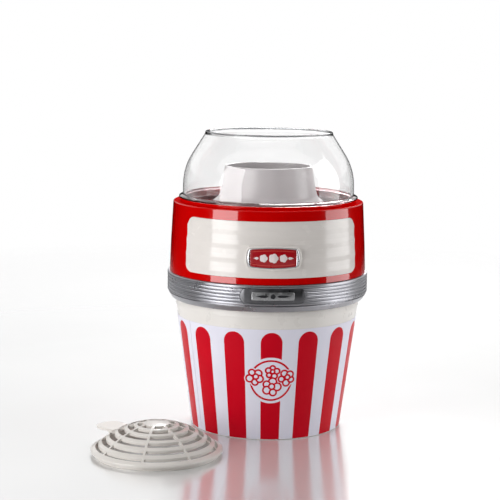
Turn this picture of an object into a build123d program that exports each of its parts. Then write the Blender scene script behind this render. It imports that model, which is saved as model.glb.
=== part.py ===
"""Hot-air popcorn maker: a popper with a clear dome that stands on a striped bucket, and its vented lid.

Millimetres. +Z is up and the front faces -Y. The origin is the centre of the bucket's flat underside,
so the machine stands on z = 0 about the Z axis. The lid lies on the same surface, front left.
"""

from build123d import *
from math import cos, degrees, radians, sin, sqrt, tan
import os

# ---- Driving dimensions ----
GAP = 0.2  # clearance between pieces that lift apart

# Bucket
BUCKET_FOOT_R = 75.1
BUCKET_TAPER = 0.133  # radius gained for each mm of height
BUCKET_WALL = 2.2
BUCKET_TOP_Z = 140.0
COLLAR_Z = 123.4
COLLAR_R = 92.0
RIM_R = 93.2
RIM_THICK = 3.4
RIM_LOW_Z = 136.5
LABEL_LOW_Z = 0.9
LABEL_TOP_Z = 112.4
LABEL_THICK = 0.4
LABEL_SEAM_DEG = 210.0  # direction of the gap where the label's ends meet
LABEL_SEAM_WIDTH = 0.4

# Silver ring round the popper's foot
RING_LOW_Z = 130.3
RING_GROOVE_Z = 137.1
RING_TOP_Z = 156.5
RING_CREST_R = 100.5
RING_VALLEY_R = 99.6
RING_BORE_R = 96.0
RING_LIP_R = RIM_R + 0.4  # the ring's lower lip clears the bucket's rim as it lifts
RIDGES = 6
RIDGE_ROUND = 0.9
PLATE_LENGTH = 63.0
PLATE_LOW_Z, PLATE_TOP_Z = 139.3, 153.4
PLATE_MID_Z = (PLATE_LOW_Z + PLATE_TOP_Z) / 2
PLATE_FLOOR_R = RING_VALLEY_R - 0.8
PLATE_BULGE = 3.2  # how far its ends bow out
PLATE_INSET = (40.6, 7.6)

# Base ring, the popper's seat on the bucket
BASE_LOW_Z = BUCKET_TOP_Z + GAP
BASE_TOP_Z = 142.6
BASE_INNER_R, BASE_OUTER_R = 82.5, 92.9

# Red shell
SHELL_FOOT_Z = 141.0
SHELL_SKIRT_R = 95.8
SHELL_WALL = 2.5
SHELL_SIDE = ((98.4, RING_TOP_Z + GAP), (97.2, 187.0), (95.0, 222.0))
SHELL_TOP_Z = 227.0
SHELL_EDGE_ROUND = 1.3
SHELL_LIP_R = 86.8
SHELL_NECK_R, SHELL_NECK_Z = 88.0, 229.8  # upright collar that carries the dome
SHELL_LIP_Z = 224.6
VENT_LOW_Z, VENT_TOP_Z = 170.0, 205.0
VENT_WIDTH = 2.6
VENT_OFFSETS_DEG = range(16, 37, 4)

# Ivory panel on the shell's front, and the badge on it
PANEL_LOW_Z, PANEL_TOP_Z = 163.3, 216.8
PANEL_SPREAD_DEG = 114.0
PANEL_CORNER_R = 9.0
PANEL_DEPTH = 1.2
PANEL_RIBS = 4
BADGE_Z = 182.7
BADGE_FRAME = (50.0, 20.0)
BADGE_PLATE = (44.0, 18.1)
BADGE_LIP = 1.9  # width of the raised ivory lip round the frame
BADGE_BOW = 1.4
BADGE_FLOOR_R = 98.2
BADGE_FACE_R = BADGE_FLOOR_R + 1.3
PANEL_PROUD = 0.5

# Popcorn chute, core and chimney
CHUTE_LOW_Z = 128.0
CHUTE_TOP_Z = SHELL_LIP_Z - GAP
CHUTE_WALL = 2.0
CHUTE_SIDE = ((80.0, 142.0), (83.5, CHUTE_TOP_Z))
CORE_R = 54.0
CORE_WALL = 2.0
CORE_TOP_Z = 226.0
CORE_LOW_Z = 101.0
COVER_R, COVER_LOW_Z = 35.6, 98.6
COVER_SLOTS_R, COVER_SLOT = 24.0, 2.8
ARM_ANGLES = (90, 210, 330)  # the first arm, at the back, is hollow and carries the wires
ARM_MID_Z, ARM_HALF_HEIGHT = 170.0, 20.0
ARM_HALF_WIDTH = 2.0
DUCT_WALL = 2.0
DUCT_HALF = (6.0, ARM_HALF_HEIGHT - DUCT_WALL)  # half width and half height of the wire duct
CHAMBER_R = 39.0
CHAMBER_FLOOR_Z = 180.0
CHIMNEY_TOP_Z = 262.0
CHAMBER_FLOOR_R = 36.0
CHAMBER_RIM_Z = 231.0
CHAMBER_WALL = 1.0
CHAMBER_SLOTS = 12
SHIELD_R = 45.0
SHIELD_LOW_Z, SHIELD_TOP_Z = 153.0, 222.0
BOARD_LOW_Z, BOARD_TOP_Z = 154.0, 176.0
BOARD_HALF, BOARD_THICK = 41.5, 0.8
COIL_WIRE_R, COIL_TURNS, COIL_PITCH = 1.3, 5, 4.0

# Motor and fan
MOTOR_R = 14.0
MOTOR_LOW_Z, MOTOR_TOP_Z = 105.5, 135.4
BRACKET_LOW_Z, BRACKET_TOP_Z = 135.5, 136.7
MOTOR_SCREW_X = 9.0
MOTOR_NECK_R = 5.0
SHAFT_R = 1.15
SHAFT_TOP_Z = 152.0
FAN_R = 30.0
FAN_LOW_Z, FAN_TOP_Z = 140.5, 150.0
FAN_HUB_R, FAN_DISC = 5.0, 1.2
FAN_BLADES, FAN_LEAN_DEG = 9, 35.0

# Rear pod with the switch, and the cord inlet below it
POD_Y = 104.0
POD_LOW_Z, POD_TOP_Z = 183.0, 215.0
POD_HALF_WIDTH = 17.0
SWITCH_Z = 199.0
SWITCH_CASE = (6.3, 9.5)  # half width and half height behind the bezel
SWITCH_WELL = (5.4, 8.2)  # half width and half height of the rocker's well
SWITCH_DEPTH = 13.0
SWITCH_OFF_DEG = 12.0  # the rocker's tilt either side of level
AXLE_R, AXLE_Y = 1.0, POD_Y - 0.6
INLET_Z = 168.0
INLET_BORE_R = 3.6
INLET_BODY_R = 5.2
INLET_FLANGE_R = 7.6
WIRE_R, WIRE_BEND_R = 1.1, 4.0
TERMINAL_TOP_Z = 155.0

# Screws
SCREW_R, SCREW_LENGTH = 1.5, 9.0
SCREW_HOLE_R = 1.7
HEAD_R, HEAD_THICK = 2.6, 1.7
BOSS_R = 3.6
CASE_SCREW_R, CASE_SCREW_ANGLES = 86.6, (45, 135, 225, 315)
CASE_POST_TOP_Z = 158.0
CORE_SCREW_ANGLES = (30, 150, 270)
COVER_SCREW_RING, BRACKET_SCREW_RING = 31.0, 48.8

# Dome
DOME_LOW_Z = CHUTE_TOP_Z + GAP
DOME_LIP_Z = SHELL_NECK_Z + GAP
DOME_LIP_R = 89.4
DOME_WALL_R = 85.5
DOME_WALL = 2.2
DOME_MOUTH_R = 59.8
DOME_TOP_Z = 296.0

# Lid, lying beside the machine
LID_CENTRE = (-109.0, -121.2)
LID_R = 61.9
LID_SPIGOT_R = 59.0
LID_SEAT_Z = 3.2
LID_CAP_R = 83.0  # radius of the domed grille
LID_HEIGHT = 30.5
LID_THICK = 2.6
LID_RINGS = (54.6, 47.4, 39.3, 30.3, 21.2)  # outer radius of each ring of the grille
LID_HUB_R = 12.4
LID_STRIP = 3.1
LID_RIBS, LID_RIB, LID_RIB_DEG = 8, 2.2, 33.0
LID_TAB_DEG = 136.0
TAB_REACH, TAB_WIDTH, TAB_LOW_Z = 74.0, 26.0, 14.0


# ---- Shape helpers ----
def outline(*corners):
    """Closed face in the XZ plane. A corner is (radius, height) or (radius, height, rounding)."""
    marks = []
    for i, corner in enumerate(corners):
        here = Vector(corner[0], 0, corner[1])
        if len(corner) == 2:
            marks.append((here, None, here))
            continue
        back, ahead = corners[i - 1], corners[(i + 1) % len(corners)]
        to_back = (Vector(back[0], 0, back[1]) - here).normalized()
        to_ahead = (Vector(ahead[0], 0, ahead[1]) - here).normalized()
        half = radians(to_back.get_angle(to_ahead)) / 2
        reach = corner[2] / tan(half)
        middle = here + (to_back + to_ahead).normalized() * (corner[2] / sin(half) - corner[2])
        marks.append((here + to_back * reach, middle, here + to_ahead * reach))
    edges = []
    for i, (start, middle, end) in enumerate(marks):
        if middle is not None:
            edges.append(Edge.make_three_point_arc(start, middle, end))
        after = marks[(i + 1) % len(marks)][0]
        if (after - end).length > 1e-6:
            edges.append(Edge.make_line(end, after))
    return Face(Wire(edges))


def turned(*corners):
    """Solid of revolution about Z."""
    return revolve(outline(*corners), axis=Axis.Z)


def sector(face, middle_deg, spread_deg):
    """Part turn of a face about Z, centred on one direction."""
    part = revolve(face, axis=Axis.Z, revolution_arc=spread_deg)
    return Rot(0, 0, middle_deg - spread_deg / 2) * part


def tube(inner, outer, low, top):
    """Upright ring."""
    return turned((inner, low), (outer, low), (outer, top), (inner, top))


def post(radius, low, top, x=0.0, y=0.0):
    """Upright cylinder."""
    return Pos(x, y, low) * Cylinder(radius, top - low, align=(Align.CENTER, Align.CENTER, Align.MIN))


def spoke(radius, start, end, height, angle):
    """Cylinder that points out from the Z axis."""
    lying = Rot(0, 90, 0) * Cylinder(radius, end - start, align=(Align.CENTER, Align.CENTER, Align.MIN))
    return Rot(0, 0, angle) * Pos(start, 0, height) * lying


def block(x, y, z):
    """Box from three (low, high) pairs."""
    size = (x[1] - x[0], y[1] - y[0], z[1] - z[0])
    return Pos(x[0], y[0], z[0]) * Box(*size, align=(Align.MIN, Align.MIN, Align.MIN))


def polar(radius, angle):
    """X and Y of a point about the Z axis."""
    return radius * cos(radians(angle)), radius * sin(radians(angle))


def front_prism(face, height):
    """Sketch face stood up at a height and pushed out through the front."""
    upright = Plane((0, -80, height), x_dir=(1, 0, 0), z_dir=(0, -1, 0))
    return extrude(upright * face, amount=30, dir=(0, -1, 0))


def curved(face, height, inner, outer):
    """Plate with a flat outline that is bent round the front between two radii."""
    return front_prism(face, height) & tube(inner, outer, RING_LOW_Z, SHELL_TOP_Z)


def bowed(width, height, bow, bulge, rounding):
    """Rectangle whose long edges bow out and whose short edges bulge."""
    x, y = width / 2 - bulge, height / 2 - bow
    edges = [
        Edge.make_three_point_arc((-x, y), (0, height / 2), (x, y)),
        Edge.make_three_point_arc((x, y), (width / 2, 0), (x, -y)),
        Edge.make_three_point_arc((x, -y), (0, -height / 2), (-x, -y)),
        Edge.make_three_point_arc((-x, -y), (-width / 2, 0), (-x, y)),
    ]
    face = Face(Wire(edges))
    return face.fillet_2d(rounding, face.vertices())


def at_height(pair, z):
    """Radius at a height on the straight line through two (radius, height) points."""
    (r0, z0), (r1, z1) = pair
    return r0 + (r1 - r0) * (z - z0) / (z1 - z0)


def shell_radius(z):
    """Outer radius of the red shell's side."""
    low, middle, top = SHELL_SIDE
    return at_height((low, middle), z) if z < middle[1] else at_height((middle, top), z)


def chute_radius(z):
    """Inner radius of the popcorn chute."""
    return at_height(CHUTE_SIDE, z)


def bucket_radius(z):
    """Outer radius of the bucket's wall."""
    return BUCKET_FOOT_R + BUCKET_TAPER * z


def screw(length):
    """Pan-head screw that points down, with the underside of its head at the origin."""
    head = turned((0, 0), (HEAD_R, 0), (HEAD_R, HEAD_THICK, 0.9), (0, HEAD_THICK))
    slot = block((-0.35, 0.35), (-1.7, 1.7), (HEAD_THICK - 0.8, HEAD_THICK))
    return head + post(SCREW_R, -length, 0) - slot - Rot(0, 0, 90) * slot


# ---- Bucket ----
def bucket():
    wall_top = bucket_radius(COLLAR_Z)
    inner_top = RIM_R - RIM_THICK
    return turned(
        (0, 0),
        (BUCKET_FOOT_R, 0, 0.7),
        (wall_top, COLLAR_Z),
        (COLLAR_R, COLLAR_Z, 0.2),
        (COLLAR_R, RIM_LOW_Z),
        (RIM_R, RIM_LOW_Z, 0.5),
        (RIM_R, BUCKET_TOP_Z, 1.0),
        (inner_top, BUCKET_TOP_Z, 1.0),
        (inner_top, COLLAR_Z + 1, 4.0),
        (bucket_radius(BUCKET_WALL) - BUCKET_WALL, BUCKET_WALL, 5.0),
        (0, BUCKET_WALL),
    )


def stripe_label():
    low, top = bucket_radius(LABEL_LOW_Z), bucket_radius(LABEL_TOP_Z)
    film = turned(
        (low, LABEL_LOW_Z),
        (low + LABEL_THICK, LABEL_LOW_Z),
        (top + LABEL_THICK, LABEL_TOP_Z),
        (top, LABEL_TOP_Z),
    )
    half = LABEL_SEAM_WIDTH / 2
    seam = block((BUCKET_FOOT_R - 5, RIM_R), (-half, half), (0, LABEL_TOP_Z + 1))
    return film - Rot(0, 0, LABEL_SEAM_DEG) * seam


# ---- Silver ring ----
def nameplate_face(grow=0.0):
    height = PLATE_TOP_Z - PLATE_LOW_Z
    return bowed(PLATE_LENGTH + 2 * grow, height + 2 * grow, 0.02, PLATE_BULGE, 1.6)


def trim_ring():
    pitch = (RING_TOP_Z - RING_GROOVE_Z) / RIDGES
    side = [
        (RING_BORE_R, RING_TOP_Z),
        (RING_BORE_R, RING_LOW_Z + 3),
        (RING_LIP_R, RING_LOW_Z + 1.6),
        (RING_LIP_R, RING_LOW_Z),
        (RING_BORE_R, RING_LOW_Z, 2.0),
        (RING_VALLEY_R - 0.6, RING_LOW_Z + 4.6, 4.0),
        (RING_VALLEY_R + 0.1, RING_GROOVE_Z - 0.7, 0.4),
        (RING_VALLEY_R - 1, RING_GROOVE_Z - 0.7),
        (RING_VALLEY_R - 1, RING_GROOVE_Z),
    ]
    for i in range(RIDGES):
        low = RING_GROOVE_Z + i * pitch
        side.append((RING_VALLEY_R, low))
        side.append((RING_CREST_R, low + 0.7, RIDGE_ROUND))
        side.append((RING_CREST_R, low + pitch - 0.7, RIDGE_ROUND))
    side.append((RING_VALLEY_R, RING_TOP_Z))
    pocket = front_prism(nameplate_face(0.1), PLATE_MID_Z) - post(PLATE_FLOOR_R, RING_LOW_Z, SHELL_TOP_Z)
    return turned(*side) - pocket


def nameplate():
    plate = curved(nameplate_face(), PLATE_MID_Z, PLATE_FLOOR_R, RING_CREST_R)
    inset = Rectangle(*PLATE_INSET).face()
    return plate + curved(inset, PLATE_MID_Z, PLATE_FLOOR_R + 0.5, RING_CREST_R + 0.3)


# ---- Red shell ----
def shell_wall():
    inner_skirt = SHELL_SKIRT_R - SHELL_WALL
    low, middle, top = SHELL_SIDE
    return turned(
        (inner_skirt, SHELL_FOOT_Z),
        (SHELL_SKIRT_R, SHELL_FOOT_Z),
        (SHELL_SKIRT_R, low[1]),
        (low[0], low[1], 0.4),
        (middle[0], middle[1], 250.0),
        (top[0], SHELL_TOP_Z, SHELL_EDGE_ROUND),
        (SHELL_NECK_R, SHELL_TOP_Z),
        (SHELL_NECK_R, SHELL_NECK_Z, 0.4),
        (SHELL_LIP_R, SHELL_NECK_Z, 0.4),
        (SHELL_LIP_R, SHELL_LIP_Z),
        (top[0] - SHELL_WALL, SHELL_LIP_Z, 2.5),
        (middle[0] - SHELL_WALL, middle[1], 250.0),
        (low[0] - SHELL_WALL, low[1] + 4),
        (inner_skirt, low[1] - 2),
    )


def panel_face(grow, depth, proud, ribs):
    """Section of the front panel, with its outer side in soft bands."""
    low, top = PANEL_LOW_Z - grow, PANEL_TOP_Z + grow
    corners = [(shell_radius(top) - depth, top), (shell_radius(low) - depth, low)]
    pitch = (top - low) / ribs
    for i in range(ribs):
        foot, head = low + i * pitch, low + (i + 1) * pitch
        corners.append((shell_radius(foot) + proud * 0.55, foot))
        corners.append((shell_radius(foot) + proud, foot + pitch * 0.35, 3.0))
        corners.append((shell_radius(head) + proud, head - pitch * 0.35, 3.0))
    corners.append((shell_radius(top) + proud / 2, top))
    return outline(*corners)


def panel_solid(grow, depth, proud, ribs):
    """The panel's solid. Its pocket in the shell is the same shape, a little larger."""
    spread = PANEL_SPREAD_DEG + degrees(2 * grow / shell_radius(PANEL_TOP_Z))
    solid = sector(panel_face(grow, depth, proud, ribs), 270, spread)
    low, top = PANEL_LOW_Z - grow, PANEL_TOP_Z + grow
    lines = solid.edges().filter_by(GeomType.LINE)
    corners = [e for e in lines if min(abs(e.center().Z - low), abs(e.center().Z - top)) < 0.01]
    return fillet(corners, PANEL_CORNER_R + grow)


def pod():
    """Flat-faced swelling at the back that gives the switch its depth."""
    body = block((-POD_HALF_WIDTH, POD_HALF_WIDTH), (CHUTE_SIDE[0][0], POD_Y), (POD_LOW_Z, POD_TOP_Z))
    inside = post(shell_radius(POD_LOW_Z) - SHELL_WALL - 0.6, POD_LOW_Z - 1, POD_TOP_Z + 1)
    return fillet(body.edges().filter_by(Axis.Y), 4) - inside


def pod_cavity():
    half, wall, start = POD_HALF_WIDTH - SHELL_WALL, SHELL_WALL, CHUTE_SIDE[0][0]
    across, up = SWITCH_CASE[0] + 0.1, SWITCH_CASE[1] + 0.1
    inner = block((-half, half), (start, POD_Y - wall), (POD_LOW_Z + wall, POD_TOP_Z - wall))
    return inner + block((-across, across), (start, POD_Y + 1), (SWITCH_Z - up, SWITCH_Z + up))


def vent_slots():
    """Two fans of upright slots, either side of the pod."""
    half = VENT_WIDTH / 2
    slot = block((SHELL_SKIRT_R - 10, SHELL_SKIRT_R + 10), (-half, half), (VENT_LOW_Z, VENT_TOP_Z))
    angles = [90 + side * offset for offset in VENT_OFFSETS_DEG for side in (-1, 1)]
    return [Rot(0, 0, angle) * slot for angle in angles]


def case_post():
    """Screw post inside the shell, joined to its wall by a web. It stands along +X."""
    x = CASE_SCREW_R
    column = post(BOSS_R, BASE_TOP_Z, CASE_POST_TOP_Z, x)
    web = block((x, SHELL_SKIRT_R - 1), (-1.2, 1.2), (BASE_TOP_Z, CASE_POST_TOP_Z))
    return column + web - post(SCREW_R, BASE_TOP_Z - 1, BASE_TOP_Z + 12, x)


def facing_back(solid, height):
    """Turn an upright solid on the Z axis so that it lies along +Y at a height."""
    return Pos(0, 0, height) * Rot(-90, 0, 0) * solid


def outer_shell():
    shell = shell_wall() + pod() - pod_cavity()
    shell += [Rot(0, 0, angle) * case_post() for angle in CASE_SCREW_ANGLES]
    shell -= panel_solid(GAP, PANEL_DEPTH, 4.0, 1)
    shell -= vent_slots()
    return shell - facing_back(post(INLET_BODY_R + 0.1, 90, 110), INLET_Z)


# ---- Front panel and badge ----
def front_panel():
    panel = panel_solid(0, PANEL_DEPTH - 0.05, PANEL_PROUD, PANEL_RIBS)
    width, height = BADGE_FRAME
    lip = 2 * BADGE_LIP
    pad = bowed(width + lip, height + lip, BADGE_BOW, 2.2, 3.6)
    pocket = bowed(width + 0.2, height + 0.2, BADGE_BOW, 1.8, 2.6)
    panel += curved(pad, BADGE_Z, BADGE_FLOOR_R - 1, BADGE_FACE_R)
    return panel - curved(pocket, BADGE_Z, BADGE_FLOOR_R, BADGE_FACE_R + 5)


def badge_frame():
    width, height = BADGE_PLATE
    outer = curved(bowed(*BADGE_FRAME, BADGE_BOW, 1.8, 2.5), BADGE_Z, BADGE_FLOOR_R, BADGE_FACE_R + 0.5)
    opening = bowed(width + 0.1, height + 0.1, BADGE_BOW, 0.3, 1.6)
    return outer - front_prism(opening, BADGE_Z)


def badge_plate():
    return curved(bowed(*BADGE_PLATE, BADGE_BOW, 0.3, 1.5), BADGE_Z, BADGE_FLOOR_R, BADGE_FACE_R)


# ---- Base ring and popcorn chute ----
def base_ring():
    ring = turned(
        (BASE_INNER_R, BASE_LOW_Z),
        (BASE_OUTER_R, BASE_LOW_Z, 0.4),
        (BASE_OUTER_R, BASE_TOP_Z),
        (BASE_INNER_R, BASE_TOP_Z),
    )
    for angle in CASE_SCREW_ANGLES:
        ring -= post(SCREW_HOLE_R, BASE_LOW_Z - 1, BASE_TOP_Z + 1, *polar(CASE_SCREW_R, angle))
    return ring


def chute_liner():
    low, top = chute_radius(CHUTE_LOW_Z), chute_radius(CHUTE_TOP_Z)
    rest = chute_radius(BASE_TOP_Z) + CHUTE_WALL
    liner = turned(
        (low, CHUTE_LOW_Z),
        (low + CHUTE_WALL, CHUTE_LOW_Z),
        (rest, BASE_TOP_Z + 0.1),
        (rest + 3, BASE_TOP_Z + 0.1),
        (rest + 3, BASE_TOP_Z + 2),
        (rest, BASE_TOP_Z + 2),
        (top + CHUTE_WALL, CHUTE_TOP_Z - 2.2),
        (SHELL_LIP_R + 0.4, CHUTE_TOP_Z - 2.2),
        (SHELL_LIP_R + 0.4, CHUTE_TOP_Z, 1.6),
        (top, CHUTE_TOP_Z, 0.6),
    )
    liner -= duct_space((CHUTE_SIDE[0][0] - 5, SHELL_SKIRT_R))
    for angle in CASE_SCREW_ANGLES:
        liner -= post(BOSS_R + GAP, BASE_TOP_Z, BASE_TOP_Z + 3, *polar(CASE_SCREW_R, angle))
    for angle, height in arm_screw_spots():
        liner -= spoke(SCREW_HOLE_R, CHUTE_SIDE[0][0] - 5, SHELL_SKIRT_R, height, angle)
    return liner


def duct_space(y):
    """The wire duct's opening through whatever lies between two Y values at the back."""
    across, up = DUCT_HALF
    return block((-across, across), y, (ARM_MID_Z - up, ARM_MID_Z + up))


def arm_screw_spots():
    """Direction and height of the screws that fix the core's arms to the chute."""
    back, *sides = ARM_ANGLES
    outside = ARM_HALF_HEIGHT + 2.5
    spots = [(back, ARM_MID_Z - outside), (back, ARM_MID_Z + outside)]
    return spots + [(angle, ARM_MID_Z + step) for angle in sides for step in (-12, 12)]


# ---- Core ----
def core_wall():
    inner = CORE_R - CORE_WALL
    return turned(
        (COVER_R - CORE_WALL, CORE_LOW_Z),
        (COVER_R + 0.4, CORE_LOW_Z),
        (CORE_R, 128.0, 12.0),
        (CORE_R, CORE_TOP_Z),
        (inner, CORE_TOP_Z),
        (inner, CORE_TOP_Z - 1.6),
        (inner - 3, CORE_TOP_Z - 1.6),
        (inner, CORE_TOP_Z - 6),
        (inner, 128.6, 10.0),
    )


def arm(angle):
    """Web that carries the core inside the chute. It stands along +X, to be turned to its place."""
    hollow = angle == ARM_ANGLES[0]
    half = DUCT_HALF[0] + DUCT_WALL if hollow else ARM_HALF_WIDTH
    reach = (CORE_R - CORE_WALL / 2, SHELL_SKIRT_R)
    web = block(reach, (-half, half), (ARM_MID_Z - ARM_HALF_HEIGHT, ARM_MID_Z + ARM_HALF_HEIGHT))
    web = fillet(web.edges().filter_by(Axis.X), 1.5)
    for direction, height in arm_screw_spots():
        if direction == angle:
            web += spoke(BOSS_R, *reach, height, 0)
            web -= spoke(SCREW_R, 70, SHELL_SKIRT_R + 1, height, 0)
    return web


def inside_chute():
    """The space inside the chute, a hair smaller than its wall."""
    low, top = 130.0, 226.0
    return turned((0, low), (chute_radius(low) - 0.05, low), (chute_radius(top) - 0.05, top), (0, top))


def core_housing():
    core = core_wall()
    for angle in ARM_ANGLES:
        core += Rot(0, 0, angle) * (arm(angle) & inside_chute())
    core -= duct_space((CORE_R / 2, SHELL_SKIRT_R))
    for angle in CORE_SCREW_ANGLES:
        low_spot, shelf_spot = polar(COVER_SCREW_RING, angle), polar(BRACKET_SCREW_RING, angle)
        shelf = post(BOSS_R, BRACKET_LOW_Z - 13, BRACKET_LOW_Z - 0.1, *shelf_spot)
        core += post(BOSS_R, CORE_LOW_Z, CORE_LOW_Z + 16, *low_spot)
        core += shelf & post(CORE_R - CORE_WALL / 2, CORE_LOW_Z, CORE_TOP_Z)
        core -= post(SCREW_R, CORE_LOW_Z - 1, CORE_LOW_Z + 12, *low_spot)
        core -= post(SCREW_R, BRACKET_LOW_Z - 10, BRACKET_TOP_Z, *shelf_spot)
    return core


def core_cover():
    """Slotted cover under the core: the fan draws its air through it."""
    low, top = COVER_LOW_Z, CORE_LOW_Z - 0.1
    cover = turned((0, low), (COVER_R, low, 0.8), (COVER_R, top), (0, top))
    half = COVER_SLOT / 2
    for x in range(-18, 19, 6):
        reach = sqrt(COVER_SLOTS_R**2 - x**2)
        cover -= block((x - half, x + half), (-reach, reach), (low - 1, top + 1))
    for angle in CORE_SCREW_ANGLES:
        cover -= post(SCREW_HOLE_R, low - 1, top + 1, *polar(COVER_SCREW_RING, angle))
    return cover


def chimney():
    """Flared mouth over the popping chamber, a double wall open underneath."""
    foot = CORE_TOP_Z + GAP
    return turned(
        (40.3, foot),
        (40.4, 233.0),
        (41.4, CHIMNEY_TOP_Z, 1.0),
        (44.0, CHIMNEY_TOP_Z, 1.4),
        (44.8, 255.0, 12.0),
        (47.2, 240.0, 60.0),
        (49.2, 231.5, 8.0),
        (CORE_R + 2.3, foot - 0.6, 3.0),
        (CORE_R + 2.3, foot - 5.5, 0.6),
        (CORE_R + 0.25, foot - 5.5),
        (CORE_R + 0.25, foot),
        (50.9, foot),
        (46.9, 230.3),
        (44.8, 240.0),
        (43.8, 246.0),
        (42.7, 246.0),
        (42.4, foot),
    )


# ---- Popping chamber and heater ----
def popping_chamber():
    """Aluminium cup with slanted air slots round its foot and a raised floor."""
    flange_z, flange_r = CORE_TOP_Z - 1.5, CORE_R - CORE_WALL - 0.3
    floor = CHAMBER_FLOOR_Z
    outside = CHAMBER_R + CHAMBER_WALL
    cup = turned(
        (0, floor + 5),
        (12, floor, 6.0),
        (CHAMBER_FLOOR_R, floor, 6.0),
        (CHAMBER_R, CHAMBER_RIM_Z),
        (outside, CHAMBER_RIM_Z),
        (outside - 0.1, flange_z + 0.9, 0.8),
        (flange_r, flange_z + 0.9),
        (flange_r, flange_z),
        (outside - 0.2, flange_z, 0.8),
        (CHAMBER_FLOOR_R + CHAMBER_WALL, floor - CHAMBER_WALL, 7.0),
        (11.8, floor - CHAMBER_WALL, 7.0),
        (0, floor + 5 - CHAMBER_WALL),
    )
    slot = Pos(CHAMBER_R - 1, 0, floor + 11) * Rot(30, 0, 0) * Box(8, 2, 13)
    return cup - [Rot(0, 0, i * 360 / CHAMBER_SLOTS) * slot for i in range(CHAMBER_SLOTS)]


def heat_shield():
    return tube(SHIELD_R, SHIELD_R + 0.6, SHIELD_LOW_Z, SHIELD_TOP_Z)


def heater_boards():
    """Two mica boards slotted together into a cross."""
    half = BOARD_THICK / 2
    board = block((-BOARD_HALF, BOARD_HALF), (-half, half), (BOARD_LOW_Z, BOARD_TOP_Z))
    return board + Rot(0, 0, 90) * board


def heating_coil():
    """Turns of resistance wire round the edges of the boards."""
    ring = Torus(BOARD_HALF + COIL_WIRE_R + 0.5, COIL_WIRE_R)
    return Compound([Pos(0, 0, BOARD_LOW_Z + 3 + i * COIL_PITCH) * ring for i in range(COIL_TURNS)])


def thermostat():
    """Round bimetal switch, flat against the heat shield."""
    return spoke(8, SHIELD_R + 1.3, SHIELD_R + 5.8, (BOARD_LOW_Z + BOARD_TOP_Z) / 2, 60)


def thermal_fuse():
    return post(1.7, BOARD_LOW_Z + 4, BOARD_LOW_Z + 17, *polar(SHIELD_R + 3.8, 122))


# ---- Motor and fan ----
def motor_bracket():
    low, top = BRACKET_LOW_Z, BRACKET_TOP_Z
    rim, hub = (45.5, CORE_R - CORE_WALL - 0.4), (MOTOR_NECK_R + 0.3, 17)
    plate = tube(*rim, low, top) + tube(*hub, low, top)
    for angle in CORE_SCREW_ANGLES:
        plate += Rot(0, 0, angle) * block((hub[1] - 2, rim[0] + 1), (-5, 5), (low, top))
        plate -= post(SCREW_HOLE_R, low - 1, top + 1, *polar(BRACKET_SCREW_RING, angle))
    for x in (-MOTOR_SCREW_X, MOTOR_SCREW_X):
        plate -= post(SCREW_HOLE_R, low - 1, top + 1, x)
    return plate


def motor():
    can = turned(
        (0, MOTOR_LOW_Z),
        (MOTOR_R, MOTOR_LOW_Z, 1.5),
        (MOTOR_R, MOTOR_TOP_Z, 1.5),
        (MOTOR_NECK_R, MOTOR_TOP_Z),
        (MOTOR_NECK_R, BRACKET_TOP_Z + 0.8, 0.4),
        (0, BRACKET_TOP_Z + 0.8),
    )
    can -= post(SHAFT_R + 0.05, MOTOR_LOW_Z + 8, BRACKET_TOP_Z + 2)
    for x in (-MOTOR_SCREW_X, MOTOR_SCREW_X):
        can -= post(SCREW_R, MOTOR_TOP_Z - 5, MOTOR_TOP_Z + 1, x)
    return can


def motor_shaft():
    return post(SHAFT_R, MOTOR_LOW_Z + 9, SHAFT_TOP_Z)


def fan_wheel():
    """Centrifugal wheel with blades that lean back from the hub."""
    hub = tube(SHAFT_R, FAN_HUB_R, BRACKET_TOP_Z + 1.6, FAN_TOP_Z)
    wheel = hub + tube(FAN_HUB_R - 1, FAN_R, FAN_LOW_Z, FAN_LOW_Z + FAN_DISC)
    vane = block((FAN_HUB_R - 0.5, FAN_R), (-0.6, 0.6), (FAN_LOW_Z + FAN_DISC / 2, FAN_TOP_Z))
    blade = Pos(6, 5, 0) * Rot(0, 0, -FAN_LEAN_DEG) * vane & post(FAN_R - 0.2, FAN_LOW_Z, FAN_TOP_Z)
    return wheel + [Rot(0, 0, i * 360 / FAN_BLADES) * blade for i in range(FAN_BLADES)]


def diode_board():
    top = MOTOR_LOW_Z - 0.1
    board = post(13, top - 1.6, top)
    for y in (-7.5, -2.5, 2.5, 7.5):
        body = Pos(0, y, top - 2.4) * Rot(0, 90, 0) * Cylinder(1.2, 5)
        board += body
    return board


# ---- Switch, cord inlet and wiring ----
def switch_body():
    """Case of the rocker switch: a bezel outside the pod and a well for the rocker."""
    bezel = block((-7.8, 7.8), (POD_Y, POD_Y + 1.6), (SWITCH_Z - 11, SWITCH_Z + 11))
    bezel = fillet(bezel.edges().filter_by(Axis.Y), 1.5)
    (x, z), (well_x, well_z) = SWITCH_CASE, SWITCH_WELL
    case = bezel + block((-x, x), (POD_Y - SWITCH_DEPTH, POD_Y + 1), (SWITCH_Z - z, SWITCH_Z + z))
    case -= block((-well_x, well_x), (POD_Y - 6.5, POD_Y + 3), (SWITCH_Z - well_z, SWITCH_Z + well_z))
    return case - rocker_axle(AXLE_R + 0.05, x + GAP)


def rocker_axle(radius, half):
    return Pos(0, AXLE_Y, SWITCH_Z) * Rot(0, 90, 0) * Cylinder(radius, 2 * half)


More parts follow.
